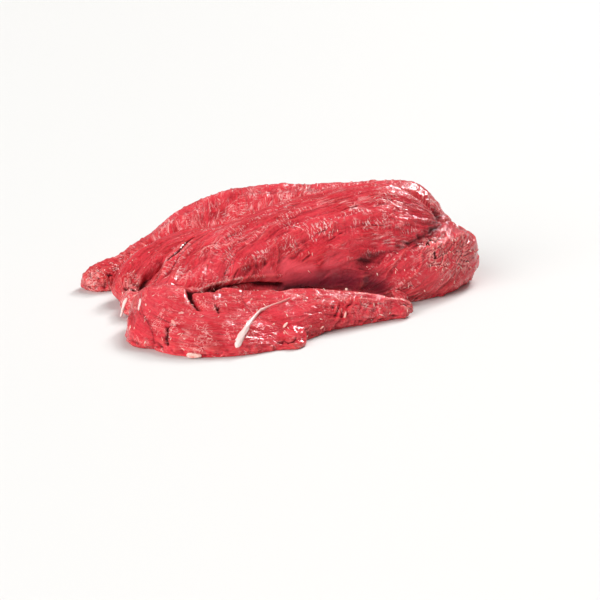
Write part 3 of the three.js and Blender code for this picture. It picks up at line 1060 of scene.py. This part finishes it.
# Torn fibre ends and crumbs of fat: pale, damp and a little see-through.
def pale_scraps():
    material, tree = new_material("pale_fat_and_fibre_ends")
    place = add(tree, "TexCoord", {}).outputs["Object"]
    cloud = add(tree, "TexNoise", {"Vector": place, "Scale": 1 / 0.0024, "Detail": 2.0}).outputs["Fac"]
    share = add(tree, "MapRange", {"Value": cloud, "From Min": 0.35, "From Max": 0.65})
    mix = {0: share, 6: linear("ee9a90"), 7: linear("fbdccf")}
    colour = add(tree, "Mix", mix, data_type="RGBA").outputs[2]
    bump = add(tree, "Bump", {"Strength": 0.4, "Distance": 0.0004, "Height": cloud})
    shader = add(
        tree, "BsdfPrincipled",
        {
            "Base Color": colour, "Roughness": 0.38, "IOR": 1.42, "Normal": bump,
            "Subsurface Weight": 0.2, "Subsurface Radius": (1.0, 0.6, 0.5), "Subsurface Scale": 0.001,
            "Coat Weight": 0.6, "Coat Roughness": 0.15, "Coat IOR": 1.36,
        },
    )
    add(tree, "OutputMaterial", {"Surface": shader})
    return material


# Tendon: tough pearly white tissue, smooth and wet, which turns pink at its upper end, where it thins out
# over the red flesh.
def tendon_white():
    material, tree = new_material("tendon")
    fibre = add(tree, "Attribute", {}, attribute_name="fibre").outputs["Vector"]
    long = add(tree, "Mapping", {"Vector": fibre, "Scale": (1 / 0.7, 1 / 9, 1)})
    long = add(tree, "TexNoise", {"Vector": long, "Scale": 1.0, "Detail": 3.0}).outputs["Fac"]
    mix = {0: long, 6: linear("fbe8e2"), 7: linear("eec6c0")}
    colour = add(tree, "Mix", mix, data_type="RGBA").outputs[2]
    run = add(tree, "SeparateXYZ", {0: fibre}).outputs["Y"]
    blood = add(tree, "MapRange", {"Value": run, "From Min": 34, "From Max": 62, "To Max": 0.8})
    colour = add(tree, "Mix", {0: blood, 6: colour, 7: linear("ee8c88")}, data_type="RGBA").outputs[2]
    bump = add(tree, "Bump", {"Strength": 0.3, "Distance": 0.0004, "Height": long})
    shader = add(
        tree, "BsdfPrincipled",
        {
            "Base Color": colour, "Roughness": 0.35, "IOR": 1.4,
            "Subsurface Weight": 0.3, "Subsurface Radius": (1.0, 0.6, 0.5), "Subsurface Scale": 0.001,
            "Coat Weight": 0.4, "Coat Roughness": 0.2, "Coat IOR": 1.33, "Normal": bump,
        },
    )
    add(tree, "OutputMaterial", {"Surface": shader})
    return material


# A matt white table top, which throws a soft pale light up at the meat.
def table_white():
    material, tree = new_material("matt_white_table")
    shader = add(tree, "BsdfPrincipled", {"Base Color": linear("dfdedc"), "Roughness": 0.8})
    add(tree, "OutputMaterial", {"Surface": shader})
    return material


FLOOR_HALF = 30.0  # m, so that the table fills the view to the back
LENS = 84.0
SENSOR = 36.0
ELEVATION = math.radians(13.67)
DISTANCE = 0.9675
SHIFT = (-3 / 600, -10 / 600)  # pixels of the frame's 600
WORLD_STRENGTH = 0.2
# Broad lamps far off: the way they stand round the meat and above it in degrees, watts a square metre,
# their width in degrees, and whether the wet meat mirrors them. Azimuth 0 is the camera's side, 90 the right.
SUNS = (
    ("key", 150, 52, 1.9, 30, False),
    ("glint", 154, 34, 1.6, 12, True),
    ("fill", -35, 22, 3.4, 50, False),
)


def stage_and_light():
    bm = bmesh.new()
    bmesh.ops.create_grid(bm, x_segments=1, y_segments=1, size=FLOOR_HALF)
    mesh = as_mesh(bm, "floor")
    mesh.materials.append(table_white())
    floor = placed("floor", mesh)

    world = bpy.data.worlds.new("studio")
    bpy.context.scene.world = world
    world.use_nodes = True
    world.node_tree.nodes["Background"].inputs["Color"].default_value = (1, 1, 1, 1)
    world.node_tree.nodes["Background"].inputs["Strength"].default_value = WORLD_STRENGTH
    for name, azimuth, elevation, strength, width, mirrored in SUNS:
        light = bpy.data.lights.new(name, "SUN")
        light.energy = strength
        light.angle = math.radians(width)
        lamp = placed(name, light)
        lamp.visible_glossy = mirrored
        around, above = math.radians(azimuth), math.radians(elevation)
        level = math.cos(above)
        towards = Vector((math.sin(around) * level, -math.cos(around) * level, math.sin(above)))
        lamp.rotation_euler = towards.to_track_quat("Z", "Y").to_euler()

    lens = bpy.data.cameras.new("camera")
    lens.lens = LENS
    lens.sensor_width = SENSOR
    lens.shift_x, lens.shift_y = SHIFT
    camera = placed("camera", lens)
    origin = Vector((-BASE_MIDDLE * MM).tolist())
    camera.location = origin + DISTANCE * Vector((0, -math.cos(ELEVATION), math.sin(ELEVATION)))
    camera.rotation_euler = (math.pi / 2 - ELEVATION, 0, 0)
    bpy.context.scene.camera = camera
    bpy.context.scene.view_settings.view_transform = "Standard"


# How many shreds stand on each piece, and the least and most of their half length, half width and half
# thickness in mm.
SHREDS = {"loin": 50, "folded_tail": 110, "strap": 40, "side_band": 50, "head": 120}
SHRED_SIZES = ((0.7, 1.7), (0.25, 0.45), (0.18, 0.3))
SHRED_TILT = (0.1, 0.55)  # radians that a shred's far end stands up
SHRED_TURN = (0.5 * math.pi, 0.7)  # its mean turn from the fibres, and how far that varies
EVENLY = 0.12  # how much of the shreds stand where the meat isn't torn
# Single flecks that show by themselves: the place, the half length and width in mm, and the turn in radians.
FLECKS = [
    ((-11.3, -136.5, 10.8), 2.4, 0.9, 0.9),
    ((25.9, -105.8, 8.9), 2.4, 0.8, 1.4),
    ((10.9, -119, 4.9), 1.6, 0.6, 0.7),
    ((-17.8, -138.8, 12.7), 1.0, 0.6, 0.4),
]
FLECK_HALF = 0.5  # mm of half thickness
FLECK_TILT = 0.05
TAIL_FRONT = (0, -0.85, 0.5)  # the way the tail's front faces, where the flecks lie


def shreds(pieces, material):
    """Small torn shreds of fibre and fat on the surfaces, joined in one mesh."""
    draw = np.random.default_rng(5)
    bm = bmesh.new()
    for name, count in SHREDS.items():
        mesh = pieces[name].data
        places, _, normals = mesh_arrays(mesh)
        ripped = pulled(mesh.attributes["grain"].data, "vector", 3)[:, 0]
        loose = (ripped + EVENLY) * (places[:, 2] > 1.5 * MM) * (normals[:, 2] > -0.3)
        picked = draw.choice(len(places), count, replace=False, p=loose / loose.sum())
        ways = muscle_place(PIECES[name][0][0], places[picked] / MM + BASE_MIDDLE)[3]
        for k, way in zip(picked, ways):
            half = [draw.uniform(*limits) * MM for limits in SHRED_SIZES]
            turn = draw.normal(*SHRED_TURN)
            add_shred(bm, places[k], normals[k], way, half, turn, draw.uniform(*SHRED_TILT))
    for spot, long, wide, turn in FLECKS:
        place = (np.array(spot) - BASE_MIDDLE) * MM
        half = (long * MM, wide * MM, FLECK_HALF * MM)
        add_shred(bm, place, TAIL_FRONT, (1, 0, 0), half, turn, FLECK_TILT)
    return finished("shreds", as_mesh(bm, "shreds"), material)


def add_shred(bm, place, normal, way, half, turn, tilt):
    """One flattened grain, turned from the fibres' way about the surface's normal and tilted up."""
    normal = Vector(normal).normalized()
    way = Vector(way) - normal * normal.dot(Vector(way))
    way.normalize()
    way.rotate(Quaternion(normal, turn))
    side = normal.cross(way)
    way.rotate(Quaternion(side, -tilt))
    facing = Matrix((way, side, way.cross(side))).transposed().to_4x4()
    middle = Matrix.Translation(Vector(place) + way * (0.5 * half[0]))
    matrix = middle @ facing @ Matrix.Diagonal((*half, 1))
    bmesh.ops.create_icosphere(bm, subdivisions=1, radius=1, matrix=matrix)


stage_and_light()
muscle_red = raw_muscle()
pale = pale_scraps()
white = tendon_white()
finishes = {"tendon": white, "fat_strings": white, "fat_bits": pale}
made = {}
for piece_name, plan in PIECES.items():
    finish = finishes.get(piece_name, muscle_red)
    made[piece_name] = muscle_piece(piece_name, *plan, finish)
made["shreds"] = shreds(made, pale)
for piece in made.values():
    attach(piece, "root")
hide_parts("tenderloin")
